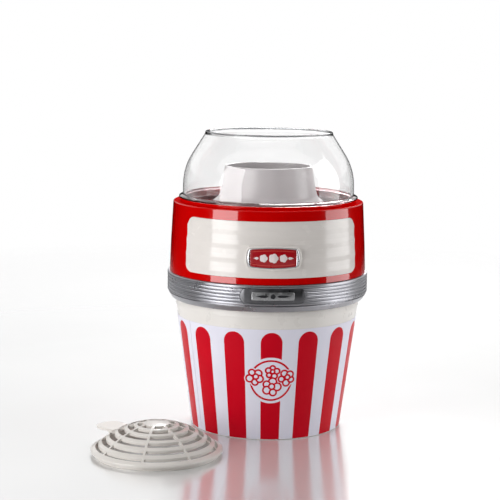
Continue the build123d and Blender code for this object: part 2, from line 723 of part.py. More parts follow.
def switch_rocker():
    """Rocker key with a shallow V face, resting in its off position."""
    side = [(3.4, -7.3), (2.2, 0), (3.4, 7.3), (-2.2, 6.6), (-4.4, 2.5), (-4.4, -2.5), (-2.2, -6.6)]
    points = [Vector(0, out, up) for out, up in side]
    edges = [Edge.make_line(points[i - 1], points[i]) for i in range(len(points))]
    key = extrude(Face(Wire(edges)), amount=SWITCH_WELL[0] - 0.25, dir=(1, 0, 0), both=True)
    key = Pos(0, AXLE_Y, SWITCH_Z) * Rot(-SWITCH_OFF_DEG, 0, 0) * key
    return key + rocker_axle(AXLE_R, SWITCH_CASE[0] - GAP)


def switch_terminals():
    back = POD_Y - SWITCH_DEPTH
    heights = (SWITCH_Z - 5, SWITCH_Z + 5)
    return Compound([block((-2, 2), (back - 4.5, back), (z - 0.4, z + 0.4)) for z in heights])


def cord_gland():
    """Rubber bush that lines the cord's way in."""
    start, seat, end = 88.0, 98.6, POD_Y
    bush = turned(
        (INLET_BORE_R, start),
        (INLET_BODY_R, start),
        (INLET_BODY_R, seat),
        (INLET_FLANGE_R, seat),
        (INLET_FLANGE_R, seat + 1.8, 0.8),
        (INLET_BODY_R + 0.4, end, 0.8),
        (INLET_BORE_R, end),
    )
    return facing_back(bush, INLET_Z)


def terminal_block():
    """Screw terminals that stand behind the chute, under the cord bush."""
    base = block((-10, 10), (86, 92.5), (BASE_TOP_Z + 2.3, TERMINAL_TOP_Z))
    return base - [post(1.3, TERMINAL_TOP_Z - 5, TERMINAL_TOP_Z + 1, x, 90.8) for x in (-6, 0, 6)]


def wire(*points):
    """Insulated wire along straight runs with rounded bends."""
    path = FilletPolyline(*points, radius=WIRE_BEND_R)
    return sweep(Plane(path @ 0, z_dir=path % 0) * Circle(WIRE_R), path)


def inner_wires():
    """Leads from the terminal block to the heater, and from the switch to the block."""
    low, run, top = TERMINAL_TOP_Z, TERMINAL_TOP_Z + 6, SWITCH_Z - 7
    y, end = 88.5, SHIELD_R + 2.5
    leads = [wire((x, y, low), (x, y, run), (x, end, run)) for x in (-4, 4)]
    leads.append(wire((0, y, top), (8, y, top - 10), (8, y, low)))
    return Compound(leads)


# ---- Screws ----
def screw_group(spots, length=SCREW_LENGTH):
    """The same screw at several places."""
    return Compound([spot * screw(length) for spot in spots])


def body_screws():
    flip = Rot(180, 0, 0)
    return screw_group([Pos(*polar(CASE_SCREW_R, a), BASE_LOW_Z) * flip for a in CASE_SCREW_ANGLES])


def arm_screws():
    places = []
    for angle, height in arm_screw_spots():
        seat = chute_radius(height + HEAD_R) + CHUTE_WALL + 0.15
        places.append(Rot(0, 0, angle) * Pos(seat, 0, height) * Rot(0, 90, 0))
    return screw_group(places)


def cover_screws():
    flip = Rot(180, 0, 0)
    return screw_group([Pos(*polar(COVER_SCREW_RING, a), COVER_LOW_Z) * flip for a in CORE_SCREW_ANGLES])


def bracket_screws():
    spots = [polar(BRACKET_SCREW_RING, angle) for angle in CORE_SCREW_ANGLES]
    return screw_group([Pos(x, y, BRACKET_TOP_Z) for x, y in spots])


def motor_screws():
    return screw_group([Pos(x, 0, BRACKET_TOP_Z) for x in (-MOTOR_SCREW_X, MOTOR_SCREW_X)], 5)


# ---- Dome ----
def dome():
    seat, spigot, wall = SHELL_LIP_R - 0.7, chute_radius(DOME_LOW_Z - 5) - 0.2, DOME_WALL
    lip_top, wall_foot = DOME_LIP_Z + 1.9, DOME_LIP_Z + 3.2
    return turned(
        (spigot - 1.7, DOME_LOW_Z - 5),
        (spigot, DOME_LOW_Z - 5, 0.5),
        (spigot, DOME_LOW_Z),
        (seat, DOME_LOW_Z, 0.6),
        (seat, DOME_LIP_Z),
        (DOME_LIP_R, DOME_LIP_Z, 0.4),
        (DOME_LIP_R, lip_top, 0.8),
        (DOME_WALL_R + 0.1, wall_foot, 0.8),
        (DOME_WALL_R - 0.4, 259.9, 57.0),
        (64.0, 293.2, 1.5),
        (63.4, DOME_TOP_Z, 1.0),
        (DOME_MOUTH_R, DOME_TOP_Z, 1.0),
        (DOME_MOUTH_R, DOME_TOP_Z - 3.4, 0.6),
        (61.8, DOME_TOP_Z - 3.4),
        (DOME_WALL_R - 0.4 - wall, 259.2, 57.0 - wall),
        (DOME_WALL_R - wall, wall_foot - 1, 3.0),
        (spigot - 1.7, DOME_LOW_Z + 1),
    )


# ---- Lid ----
def cap_z(radius):
    """Height of the domed grille's top at a distance from its centre."""
    return LID_HEIGHT - LID_CAP_R + sqrt(LID_CAP_R**2 - radius**2)


def lid_rim():
    join = LID_SPIGOT_R - 2
    return turned(
        (join, 0),
        (LID_SPIGOT_R, 0, 0.5),
        (LID_SPIGOT_R, LID_SEAT_Z),
        (LID_R, LID_SEAT_Z, 0.5),
        (LID_R, LID_SEAT_Z + 2.4, 1.0),
        (join, cap_z(join)),
    )


def lid_gaps():
    """Open rings of the grille, with the ribs left standing."""
    outers = LID_RINGS + (LID_HUB_R,)
    inner_edges = (LID_SPIGOT_R - 1.5,) + tuple(r - LID_STRIP for r in LID_RINGS)
    gaps = [tube(low, high, -1, LID_HEIGHT + 1) for low, high in zip(outers, inner_edges)]
    rib = block((LID_HUB_R / 2, LID_R), (-LID_RIB / 2, LID_RIB / 2), (-2, LID_HEIGHT + 2))
    ribs = [Rot(0, 0, LID_RIB_DEG + i * 360 / LID_RIBS) * rib for i in range(LID_RIBS)]
    return [gap - ribs for gap in gaps]


def lid_tab():
    """Finger tab that stands out over the rim, with a gusset under it."""
    half = TAB_WIDTH / 2
    plate = block((LID_RINGS[1] - 1.4, TAB_REACH), (-half, half), (TAB_LOW_Z, TAB_LOW_Z + 2.2))
    corners = [e for e in plate.edges().filter_by(Axis.Z) if e.center().X > TAB_REACH - 1]
    plate = fillet(corners, 9)
    top = TAB_LOW_Z + 0.4
    side = outline((50, 8.5), (57.5, 5.0), (60.5, 5.0), (71, top), (50, top))
    gusset = extrude(side, amount=1.2, dir=(0, 1, 0), both=True)
    return Rot(0, 0, LID_TAB_DEG) * (plate + gusset)


def lid_grille():
    edge = LID_SPIGOT_R - 1
    top, side = Vector(0, 0, LID_HEIGHT), Vector(edge, 0, cap_z(edge))
    middle = Vector(edge / 2, 0, cap_z(edge / 2))
    drop = Vector(0, 0, -LID_THICK)
    section = [
        Edge.make_three_point_arc(top, middle, side),
        Edge.make_line(side, side + drop),
        Edge.make_three_point_arc(side + drop, middle + drop, top + drop),
        Edge.make_line(top + drop, top),
    ]
    grille = revolve(Face(Wire(section)), axis=Axis.Z) + lid_rim()
    for gap in lid_gaps():
        grille -= gap
    return Pos(*LID_CENTRE, 0) * (grille + lid_tab())


PIECES = (
    bucket,
    stripe_label,
    trim_ring,
    nameplate,
    outer_shell,
    front_panel,
    badge_frame,
    badge_plate,
    base_ring,
    chute_liner,
    core_housing,
    core_cover,
    chimney,
    popping_chamber,
    heat_shield,
    heater_boards,
    heating_coil,
    thermostat,
    thermal_fuse,
    motor_bracket,
    motor,
    motor_shaft,
    fan_wheel,
    diode_board,
    switch_body,
    switch_rocker,
    switch_terminals,
    cord_gland,
    terminal_block,
    inner_wires,
    body_screws,
    arm_screws,
    cover_screws,
    bracket_screws,
    motor_screws,
    dome,
    lid_grille,
)

os.makedirs("parts", exist_ok=True)
for piece in PIECES:
    export_step(piece(), f"parts/{piece.__name__}.step")
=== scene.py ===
"""Popcorn maker: striped bucket, silver ring, red body, clear dome and a loose grille lid."""

import math

import bpy
from mathutils import Matrix, Vector, geometry


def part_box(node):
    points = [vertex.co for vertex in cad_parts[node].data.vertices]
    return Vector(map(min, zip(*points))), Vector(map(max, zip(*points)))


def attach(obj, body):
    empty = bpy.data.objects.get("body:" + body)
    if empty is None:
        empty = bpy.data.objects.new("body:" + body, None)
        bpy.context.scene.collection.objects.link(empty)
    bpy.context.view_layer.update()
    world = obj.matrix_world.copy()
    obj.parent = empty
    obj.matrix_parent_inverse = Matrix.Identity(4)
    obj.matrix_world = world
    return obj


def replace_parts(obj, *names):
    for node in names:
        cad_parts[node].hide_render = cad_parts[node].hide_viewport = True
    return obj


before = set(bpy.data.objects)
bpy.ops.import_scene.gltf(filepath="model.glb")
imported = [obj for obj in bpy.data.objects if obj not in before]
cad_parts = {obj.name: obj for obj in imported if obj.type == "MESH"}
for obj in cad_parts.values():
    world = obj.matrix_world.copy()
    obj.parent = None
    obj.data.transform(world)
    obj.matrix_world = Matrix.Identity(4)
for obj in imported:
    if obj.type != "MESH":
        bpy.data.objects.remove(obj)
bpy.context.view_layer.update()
MM = 0.001
FRONT = math.radians(270)  # the side that carries the badge looks along -Y


# ---- Sizes in millimetres, taken over from the CAD part ----
def top_of(node):
    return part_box(node)[1].z / MM


def foot_of(node):
    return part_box(node)[0].z / MM


def reach_of(node):
    """Radius of a node that is round about the Z axis."""
    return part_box(node)[1].x / MM


LABEL_LOW, LABEL_TOP = foot_of("stripe_label"), top_of("stripe_label")
LABEL_TAPER = 0.133
LABEL_OUTSIDE = reach_of("stripe_label") - LABEL_TAPER * LABEL_TOP  # radius where z is 0
LABEL_THICK = 0.38
LABEL_SEAM, LABEL_SEAM_WIDTH = math.radians(210), 0.4
STRIPES = 15
STRIPE_HALF = math.radians(6.8)
STRIPE_CAP_Z, STRIPE_CAP = LABEL_TOP - 13.8, 10.8
EMBLEM_Z, EMBLEM_HALO, EMBLEM_RING, EMBLEM_DISC = 61.3, 23.2, 20.8, 18.9

BADGE_LOW, BADGE_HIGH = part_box("badge_plate")
BADGE_Z = (BADGE_LOW.z + BADGE_HIGH.z) / 2 / MM
BADGE_SIZE = ((BADGE_HIGH.x - BADGE_LOW.x) / MM, (BADGE_HIGH.z - BADGE_LOW.z) / MM)
BADGE_R = -BADGE_LOW.y / MM
PLATE_LOW, PLATE_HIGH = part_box("nameplate")
PLATE_Z = (PLATE_LOW.z + PLATE_HIGH.z) / 2 / MM
PLATE_SIZE = ((PLATE_HIGH.x - PLATE_LOW.x) / MM, (PLATE_HIGH.z - PLATE_LOW.z) / MM)
PLATE_R = reach_of("trim_ring")
INSET_SIZE = (40.6, 7.6)
PLATE_BULGE = 3.2
BADGE_BOW, FRAME_BULGE = 1.4, 1.8
FRAME_LOW, FRAME_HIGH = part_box("badge_frame")
COLLAR_TOP = top_of("outer_shell")  # the raised collar that carries the dome
SHELL_EDGE = COLLAR_TOP - 2.9  # just under the flat land round the collar
DOME_LIP, DOME_MOUTH = COLLAR_TOP + 2.2, top_of("dome")
FRAME_SIZE = ((FRAME_HIGH.x - FRAME_LOW.x) / MM, (FRAME_HIGH.z - FRAME_LOW.z) / MM)


# ---- Materials ----
def tone(red, green, blue):
    """Linear colour from screen values of 0 to 255."""
    return tuple((c / 255 / 12.92) if c < 10 else ((c / 255 + 0.055) / 1.055) ** 2.4 for c in (red, green, blue)) + (1,)


class Finish:
    """A Principled material, with short calls for the nodes that feed it."""

    def __init__(self, name, **sockets):
        self.material = bpy.data.materials.new(name)
        self.material.use_nodes = True
        self.tree = self.material.node_tree
        self.shader = self.tree.nodes["Principled BSDF"]
        for socket, value in sockets.items():
            self.shader.inputs[socket.replace("_", " ")].default_value = value

    def node(self, kind, **inputs):
        made = self.tree.nodes.new(kind)
        for name, value in inputs.items():
            self.feed(made.inputs[name.replace("_", " ")], value)
        return made

    def feed(self, socket, value):
        if isinstance(value, bpy.types.NodeSocket):
            self.tree.links.new(value, socket)
        else:
            socket.default_value = value

    def noise(self, size, detail=2.0, stretch=(1, 1, 1)):
        """Noise whose features are about that many millimetres wide."""
        place = self.node("ShaderNodeTexCoord").outputs["Object"]
        spread = self.node("ShaderNodeMapping", Vector=place, Scale=stretch).outputs["Vector"]
        scale = 1 / (size * MM)
        return self.node("ShaderNodeTexNoise", Vector=spread, Scale=scale, Detail=detail).outputs["Fac"]

    def height(self):
        """Height on the part, in millimetres."""
        place = self.node("ShaderNodeTexCoord").outputs["Object"]
        lifted = self.node("ShaderNodeSeparateXYZ", Vector=place).outputs["Z"]
        return self.span(lifted, 0, 1 / MM, 0, 1)

    def span(self, value, low, high, start=0.3, end=0.7):
        made = self.node("ShaderNodeMapRange", Value=value, To_Min=low, To_Max=high)
        made.inputs["From Min"].default_value = start
        made.inputs["From Max"].default_value = end
        return made.outputs["Result"]

    def between(self, factor, first, second):
        made = self.tree.nodes.new("ShaderNodeMix")
        made.data_type = "RGBA"
        self.feed(made.inputs["Factor"], factor)
        self.feed(made.inputs["A"], first)
        self.feed(made.inputs["B"], second)
        return made.outputs["Result"]

    def colour(self, value):
        self.feed(self.shader.inputs["Base Color"], value)
        return self

    def mottled(self, first, second, size, detail=2.0, stretch=(1, 1, 1)):
        factor = self.span(self.noise(size, detail, stretch), 0, 1)
        return self.colour(self.between(factor, first, second))

    def rough(self, low, high, size, stretch=(1, 1, 1)):
        self.feed(self.shader.inputs["Roughness"], self.span(self.noise(size, 3, stretch), low, high))
        return self

    def bump(self, depth, size, detail=1.0, stretch=(1, 1, 1)):
        """Relief of that many millimetres."""
        relief = self.noise(size, detail, stretch)
        made = self.node("ShaderNodeBump", Height=relief, Strength=1.0, Distance=depth * MM)
        self.feed(self.shader.inputs["Normal"], made.outputs["Normal"])
        return self


def darker(colour, share):
    return tuple(c * (1 - share) for c in colour[:3]) + (1,)


def plastic(name, colour, rough, gloss=0.0, vary=0.05, relief=0.004, **sockets):
    """Moulded plastic: faint flow marks in its colour, uneven gloss and a fine skin."""
    made = Finish(name, Coat_Weight=gloss, Coat_Roughness=0.04, **sockets)
    made.mottled(darker(colour, vary), colour, 26, 3)
    return made.rough(rough * 0.85, rough * 1.2, 14).bump(relief, 2.6).material


def metal(name, colour, rough, grain=(1, 1, 1), relief=0.003, vary=0.12, size=3.0):
    made = Finish(name, Metallic=1.0)
    made.mottled(darker(colour, vary), colour, size, 4, grain)
    return made.rough(rough * 0.75, rough * 1.3, size * 2, grain).bump(relief, size / 2, 3, grain).material


def shell_plastic(name, colour, edge):
    """Glossy red moulding, matt on the land above its front face."""
    made = Finish(name, Coat_Roughness=0.04, Coat_IOR=1.6)
    made.mottled(darker(colour, 0.05), colour, 26, 3).rough(0.17, 0.24, 14).bump(0.002, 2.6)
    height = made.height()
    made.feed(made.shader.inputs["Coat Weight"], made.span(height, 1, 0.1, edge - 0.8, edge))
    made.feed(made.shader.inputs["Specular IOR Level"], made.span(height, 0.1, 0, edge - 0.8, edge))
    return made.material


def clear_plastic(name, lip, mouth):
    """Clear moulding with painted dark edges where it turns away from view, a painted dark line round its mouth and a
    painted pink reflection of the red body at its lip. Lamps shine through it without bending: a faint shadow.
    """
    made = Finish(name, Transmission_Weight=1.0, IOR=1.46)
    edge = made.node("ShaderNodeLayerWeight", Blend=0.35).outputs["Facing"]
    clear = made.between(made.noise(40), tone(250, 250, 250), tone(255, 255, 255))
    # Painted dark edges: the base colour turns grey where the wall turns away from view.
    painted_dark_edges = made.between(made.span(edge, 0, 1, 0.62, 0.97), clear, tone(78, 80, 82))
    height = made.height()
    # Painted dark line round the mouth: the colour turns grey over the top 2.4 mm of the dome.
    painted_dark_mouth = made.between(made.span(height, 0, 1, mouth - 2.4, mouth - 1.2), painted_dark_edges, tone(112, 114, 117))
    # Painted reflection of the red body: a pink tint on the dome below its lip.
    made.colour(made.between(made.span(height, 1, 0, lip, lip + 1.2), painted_dark_mouth, tone(192, 164, 168)))
    made.rough(0.0, 0.03, 22).bump(0.004, 30)
    tree = made.tree
    path = made.node("ShaderNodeLightPath").outputs["Is Shadow Ray"]
    passing = made.node("ShaderNodeBsdfTransparent", Color=tone(246, 248, 248)).outputs["BSDF"]
    mixed = made.node("ShaderNodeMixShader")
    tree.links.new(path, mixed.inputs["Fac"])
    tree.links.new(made.shader.outputs["BSDF"], mixed.inputs[1])
    tree.links.new(passing, mixed.inputs[2])
    tree.links.new(mixed.outputs["Shader"], tree.nodes["Material Output"].inputs["Surface"])
    return made.material


RED = tone(207, 0, 0)
PRINT_RED = tone(212, 0, 30)
PRINT_WHITE = tone(240, 239, 252)
IVORY = tone(238, 232, 227)

FINISHES = {
    "bucket_ivory": plastic("bucket_ivory_finish", tone(238, 234, 229), 0.3, gloss=0.3, vary=0.02),
    "ring_silver": metal("ring_silver_finish", tone(167, 167, 172), 0.31, relief=0.0002, vary=0.04, size=9),
    "nameplate_grey": metal("nameplate_grey_finish", tone(112, 112, 115), 0.36),
    "shell_red": shell_plastic("shell_red_finish", RED, SHELL_EDGE),
    "panel_ivory": plastic("panel_ivory_finish", IVORY, 0.24, gloss=0.6),
    "badge_chrome": metal("badge_chrome_finish", tone(228, 228, 232), 0.16, vary=0.05, relief=0.0006),
    "badge_red": plastic("badge_red_finish", tone(174, 0, 20), 0.3, gloss=0.3),
    "base_dark": plastic("base_dark_finish", tone(54, 54, 58), 0.5, relief=0.02),
    "chute_red": plastic("chute_red_finish", tone(132, 0, 12), 0.34, Specular_IOR_Level=0.1),
    "core_plastic": plastic("core_plastic_finish", tone(206, 203, 197), 0.42, relief=0.012),
    "chimney_ivory": plastic("chimney_ivory_finish", tone(176, 169, 170), 0.32, gloss=0.15),
    "chamber_aluminium": metal("chamber_aluminium_finish", tone(206, 206, 208), 0.28, (1, 1, 8)),
    "mica": plastic("mica_finish", tone(190, 176, 148), 0.35, vary=0.3, relief=0.03),
    "resistance_wire": metal("resistance_wire_finish", tone(126, 112, 104), 0.4),
    "thermal_switch": metal("thermal_switch_finish", tone(176, 176, 180), 0.34),
    "steel": metal("steel_finish", tone(188, 189, 192), 0.3, (1, 1, 5)),
    "fan_plastic": plastic("fan_plastic_finish", tone(60, 62, 66), 0.42),
    "circuit_board": plastic("circuit_board_finish", tone(26, 92, 54), 0.38, vary=0.25),
    "switch_black": plastic("switch_black_finish", tone(26, 26, 28), 0.34, relief=0.01),
    "rocker_red": plastic("rocker_red_finish", tone(196, 10, 14), 0.22, gloss=0.5),
    "terminal_brass": metal("terminal_brass_finish", tone(206, 172, 96), 0.3),
    "gland_rubber": plastic("gland_rubber_finish", tone(34, 34, 35), 0.6, relief=0.02),
    "terminal_white": plastic("terminal_white_finish", tone(222, 220, 212), 0.4),
    "wire_insulation": plastic("wire_insulation_finish", tone(176, 60, 40), 0.42),
    "screw_steel": metal("screw_steel_finish", tone(170, 171, 174), 0.26),
    "dome_clear": clear_plastic("dome_clear_finish", DOME_LIP, DOME_MOUTH),
    "lid_ivory": plastic("lid_ivory_finish", tone(228, 223, 217), 0.32, gloss=0.3),
}
PRINTED = {
    "white": plastic("label_white_finish", PRINT_WHITE, 0.34, vary=0.02, relief=0.004, Specular_IOR_Level=0.1),
    "red": plastic("label_red_finish", PRINT_RED, 0.34, vary=0.06, relief=0.004, Specular_IOR_Level=0.1),
}
BRIGHT_INLAY = plastic("badge_inlay_finish", tone(244, 232, 232), 0.3, gloss=0.4, vary=0.03)
PALE_INSET = metal("nameplate_inset_finish", tone(214, 214, 216), 0.36, vary=0.3, size=1.6)
DARK_INLAY = plastic("nameplate_ornament_finish", tone(34, 34, 38), 0.4)
FINE_LINE = plastic("badge_line_finish", tone(226, 96, 84), 0.3)

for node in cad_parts.values():
    node.data.materials[0] = FINISHES.get(node.data.materials[0].name, PRINTED["white"])


# ---- Mesh helpers, in millimetres ----
def make_object(name, points, faces, materials, marks=None, sharp=34):
    """Smooth-shaded mesh object; marks gives each face's material."""
    mesh = bpy.data.meshes.new(name)
    mesh.from_pydata([(x * MM, y * MM, z * MM) for x, y, z in points], [], faces)
    for material in materials:
        mesh.materials.append(material)
    if marks:
        mesh.polygons.foreach_set("material_index", marks)
    mesh.shade_smooth()
    mesh.set_sharp_from_angle(angle=math.radians(sharp))
    mesh.validate()
    made = bpy.data.objects.new(name, mesh)
    bpy.context.scene.collection.objects.link(made)
    return made


def stand_for(made, node, body):
    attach(made, body)
    if node:
        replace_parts(made, node)
    return made


# ---- Printed label ----
class Drawing:
    """Closed lines in a flat (along, up) plane, cut into triangles that follow every line."""

    def __init__(self):
        self.points, self.edges = [], []

    def line(self, run, closed=False):
        first = len(self.points)
        self.points += [Vector(p) for p in run]
        last = len(self.points) - 1
        self.edges += [(i, i + 1) for i in range(first, last)]
        if closed:
            self.edges.append((last, first))

    def circle(self, x, y, radius, steps):
        turns = (math.tau * k / steps for k in range(steps))
        self.line([(x + radius * math.cos(t), y + radius * math.sin(t)) for t in turns], closed=True)

    def triangles(self):
        points, _, faces, *_ = geometry.delaunay_2d_cdt(self.points, self.edges, [], 0, 1e-4)
        return points, faces


KERNELS = (  # x, y, size and turn of each kernel that is drawn, from the back one to the front one
    (1.0, 8.6, 0.92, 0.2),
    (-15.2, 3.2, 1.12, 0.9),
    (15.4, 2.6, 1.06, 2.1),
    (0.2, -6.6, 1.2, 1.3),
)
KERNEL_LOBES = 5
LOBE_LINE = 1.75  # thickness of the drawn line
LOBE_HALO = 1.0  # white border round the whole drawing


def popped_corn():
    """Lobes of popped kernels drawn across the emblem's ring, as (x, y, radius)."""
    lobes = []
    for x, y, size, turn in KERNELS:
        for k in range(KERNEL_LOBES):
            angle = turn + math.tau * k / KERNEL_LOBES
            reach = (4.6 + 0.5 * math.sin(5 * k + x)) * size
            lobes.append((x + reach * math.cos(angle), y + reach * math.sin(angle), (3.9 - 0.4 * (k % 2)) * size))
        lobes.append((x + 0.6 * size, y + 0.5 * size, 3.1 * size))
    return lobes


def label_radius(z):
    return LABEL_OUTSIDE + LABEL_TAPER * z


EMBLEM_R = label_radius(EMBLEM_Z)
LOBES = popped_corn()


def emblem_red(x, y):
    """Whether the emblem is red at a point measured from its centre; None outside it."""
    gaps = [math.hypot(x - lobe_x, y - lobe_y) - radius for lobe_x, lobe_y, radius in LOBES]
    for gap in reversed(gaps):
        if gap < 0:
            return gap > -LOBE_LINE
    if min(gaps) < LOBE_HALO:
        return False
    away = math.hypot(x, y)
    return EMBLEM_DISC < away < EMBLEM_RING if away < EMBLEM_HALO else None


def label_red(along, z):
    """Whether the print is red; along is measured from the front at the emblem's radius."""
    emblem = emblem_red(along, z - EMBLEM_Z)
    if emblem is not None:
        return emblem
    pitch = math.tau / STRIPES
    angle = along / EMBLEM_R
    off = abs(angle - pitch * round(angle / pitch)) / STRIPE_HALF
    rise = max(0.0, (z - STRIPE_CAP_Z) / STRIPE_CAP)
    return math.hypot(off, rise) < 1


def draw_label(start, end):
    drawing = Drawing()
    columns = STRIPES * 10
    for k in range(columns + 1):
        along = EMBLEM_R * (start + (end - start) * k / columns)
        drawing.line([(along, LABEL_LOW), (along, LABEL_TOP)])
    for z in (LABEL_LOW, LABEL_TOP):
        drawing.line([(EMBLEM_R * start, z), (EMBLEM_R * end, z)])
    pitch = math.tau / STRIPES
    for k in range(-STRIPES, STRIPES + 1):
        stripe = [(-STRIPE_HALF, LABEL_LOW)]
        for step in range(25):
            turn = math.pi * (1 - step / 24)
            stripe.append((STRIPE_HALF * math.cos(turn), STRIPE_CAP_Z + STRIPE_CAP * math.sin(turn)))
        stripe.append((STRIPE_HALF, LABEL_LOW))
        if start < k * pitch - STRIPE_HALF and k * pitch + STRIPE_HALF < end:
            drawing.line([(EMBLEM_R * (k * pitch + angle), z) for angle, z in stripe])
    for radius in (EMBLEM_HALO, EMBLEM_RING, EMBLEM_DISC):
        drawing.circle(0, EMBLEM_Z, radius, 120)
    for x, y, radius in LOBES:
        for offset in (-LOBE_LINE, 0, LOBE_HALO):
            drawing.circle(x, EMBLEM_Z + y, radius + offset, 36)
    return drawing.triangles()


def make_label():
    """Thin printed film round the bucket, with its stripes and emblem cut into the mesh."""
    gap = LABEL_SEAM_WIDTH / 2 / LABEL_OUTSIDE
    start, end = LABEL_SEAM - FRONT + gap, LABEL_SEAM - FRONT + math.tau - gap
    flat, triangles = draw_label(start, end)
    outside, inside = [], []
    for p in flat:
        angle, radius = FRONT + p.x / EMBLEM_R, label_radius(p.y)
        across = Vector((math.cos(angle), math.sin(angle)))
        outside.append((*(across * radius), p.y))
        inside.append((*(across * (radius - LABEL_THICK)), p.y))
    count = len(flat)
    faces, marks, used = [], [], {}
    for triangle in triangles:
        middle = sum((flat[i] for i in triangle), Vector((0, 0))) / 3
        faces.append(tuple(triangle))
        marks.append(int(label_red(middle.x, middle.y)))
        faces.append(tuple(i + count for i in reversed(triangle)))
        marks.append(0)
        for a, b in zip(triangle, [*triangle[1:], triangle[0]]):
            used[(a, b)] = True
    for a, b in used:
        if (b, a) not in used:
            faces.append((b, a, a + count, b + count))
            marks.append(0)
    made = make_object("printed_label", outside + inside, faces, [PRINTED["white"], PRINTED["red"]], marks)
    stand_for(made, "stripe_label", "bucket")


# ---- Plates that are bent round the front ----
def steps(count, start=0.0, end=1.0):
    return [start + (end - start) * k / count for k in range(count + 1)]


def bowed(width, height, bow, bulge, rounding):
    """Upper half, from left to right, of a rectangle whose long edges bow out and whose ends bulge."""
    x, y = width / 2 - bulge, height / 2 - bow
    side = [Vector((-x - bulge * (1 - u * u), y * u)) for u in steps(10, 0, 1 - rounding / y)]
    top = [Vector((-x * u, y + bow * (1 - u * u))) for u in steps(20, 1 - rounding / x, 0)]
    corner, a, b = Vector((-x, y)), side[-1], top[0]
    bend = [a * (1 - t) ** 2 + corner * 2 * t * (1 - t) + b * t * t for t in steps(8)[1:-1]]
    left = side + bend + top
    return left + [Vector((-p.x, p.y)) for p in reversed(left[:-1])]


def blossom(radius, lobes=5, depth=0.16):
    """Upper half of a round shape with soft lobes, like a popped kernel."""
    half = []
    for turn in steps(48, math.pi, 0):
        reach = radius * (1 - depth + depth * abs(math.cos(lobes * turn / 2)))
        half.append(Vector((reach * math.cos(turn), reach * math.sin(turn))))
    return half


def leaf(length, height, lean):
    """Upper half of a long shape pointed at both ends, thickest nearer to its start when lean is above 1."""
    return [Vector((length * (u - 0.5), height / 2 * math.sin(math.pi * u ** (1 / lean)))) for u in steps(24)]


def whole(upper):
    """Closed loop from the upper half of a symmetric outline."""
    return upper + [Vector((p.x, -p.y)) for p in reversed(upper[1:-1])]


def shrunk(loop, distance):
    """Closed counter-clockwise or clockwise loop moved inwards."""
    count, moved = len(loop), []
    area = sum(loop[i - 1].cross(loop[i]) for i in range(count))
    side = 1 if area > 0 else -1
    for i in range(count):
        along = (loop[(i + 1) % count] - loop[i - 1]).normalized()
        moved.append(loop[i] + Vector((-along.y, along.x)) * side * distance)
    return moved


def shrunk_upper(upper, distance):
    return shrunk(whole(upper), distance)[: len(upper)]


def wrapped(loop, centre, radius):
    """Points of a flat loop bent round the front at a radius."""
    return [(p.x + centre[0], -math.sqrt(radius**2 - (p.x + centre[0]) ** 2), p.y + centre[1]) for p in loop]


def between_rows(rows, count):
    """Faces that join each row of points to the next one."""
    faces = []
    for k in range(rows):
        for i in range(count):
            n = (i + 1) % count
            faces.append((k * count + i, (k + 1) * count + i, (k + 1) * count + n, k * count + n))
    return faces


def bent_plate(name, upper, layers, centre, material):
    """Plate with a symmetric outline. Layers are (inset, radius) pairs from its back to its face."""
    loop, half = whole(upper), len(upper)
    count, last = len(loop), len(layers) - 1
    points = []
    for inset, radius in layers:
        points += wrapped(shrunk(loop, inset), centre, radius)
    faces = between_rows(last, count)
    for base, turned in ((0, False), (last * count, True)):
        for i in range(half - 1):
            near, far = (count - i) % count, count - i - 1
            face = [base + i, base + i + 1, base + far, base + near]
            if i == half - 2:
                face = [base + i, base + i + 1, base + near]
            elif i == 0:
                face = [base, base + 1, base + far]
            faces.append(tuple(reversed(face)) if turned else tuple(face))
    return stand_for(make_object(name, points, faces, [material]), None, "popper")


def bent_ring(name, outer, inner, profile, centre, material):
    """Frame between two outlines. Its profile is (share of the way in, radius) pairs round the cross-section."""
    outer, inner = whole(outer), whole(inner)
    count, points = len(outer), []
    for share, radius in profile:
        points += wrapped([a.lerp(b, share) for a, b in zip(outer, inner)], centre, radius)
    total = len(points)
    faces = [tuple(i % total for i in face) for face in between_rows(len(profile), count)]
    return stand_for(make_object(name, points, faces, [material]), None, "popper")


def make_nameplate():
    """Dark plate with a pale inset, which carries a plain ornament where a name would be."""
    grey, slot, centre = FINISHES["nameplate_grey"], "nameplate_grey", (0, PLATE_Z)
    outline = bowed(*PLATE_SIZE, 0.02, PLATE_BULGE, 1.6)
    layers = [(0, PLATE_R - 1.7), (0, PLATE_R - 0.5), (0.15, PLATE_R - 0.15), (0.5, PLATE_R)]
    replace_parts(bent_plate("nameplate_body", outline, layers, centre, grey), "nameplate")
    face = bowed(*INSET_SIZE, 0.02, 0.3, 0.8)
    layers = [(0, PLATE_R - 0.4), (0, PLATE_R + 0.12), (0.1, PLATE_R + 0.24), (0.35, PLATE_R + 0.3)]
    bent_plate("nameplate_inset", face, layers, centre, PALE_INSET)
    layers = [(0, PLATE_R + 0.1), (0, PLATE_R + 0.34), (0.08, PLATE_R + 0.4)]
    marks = {"left": (-10.5, leaf(13, 2.6, 0.7)), "right": (10.5, leaf(13, 2.6, 1.5)), "middle": (0, blossom(2.5))}
    for side, (x, shape) in marks.items():
        bent_plate(f"nameplate_ornament_{side}", shape, layers, (x, PLATE_Z), DARK_INLAY)


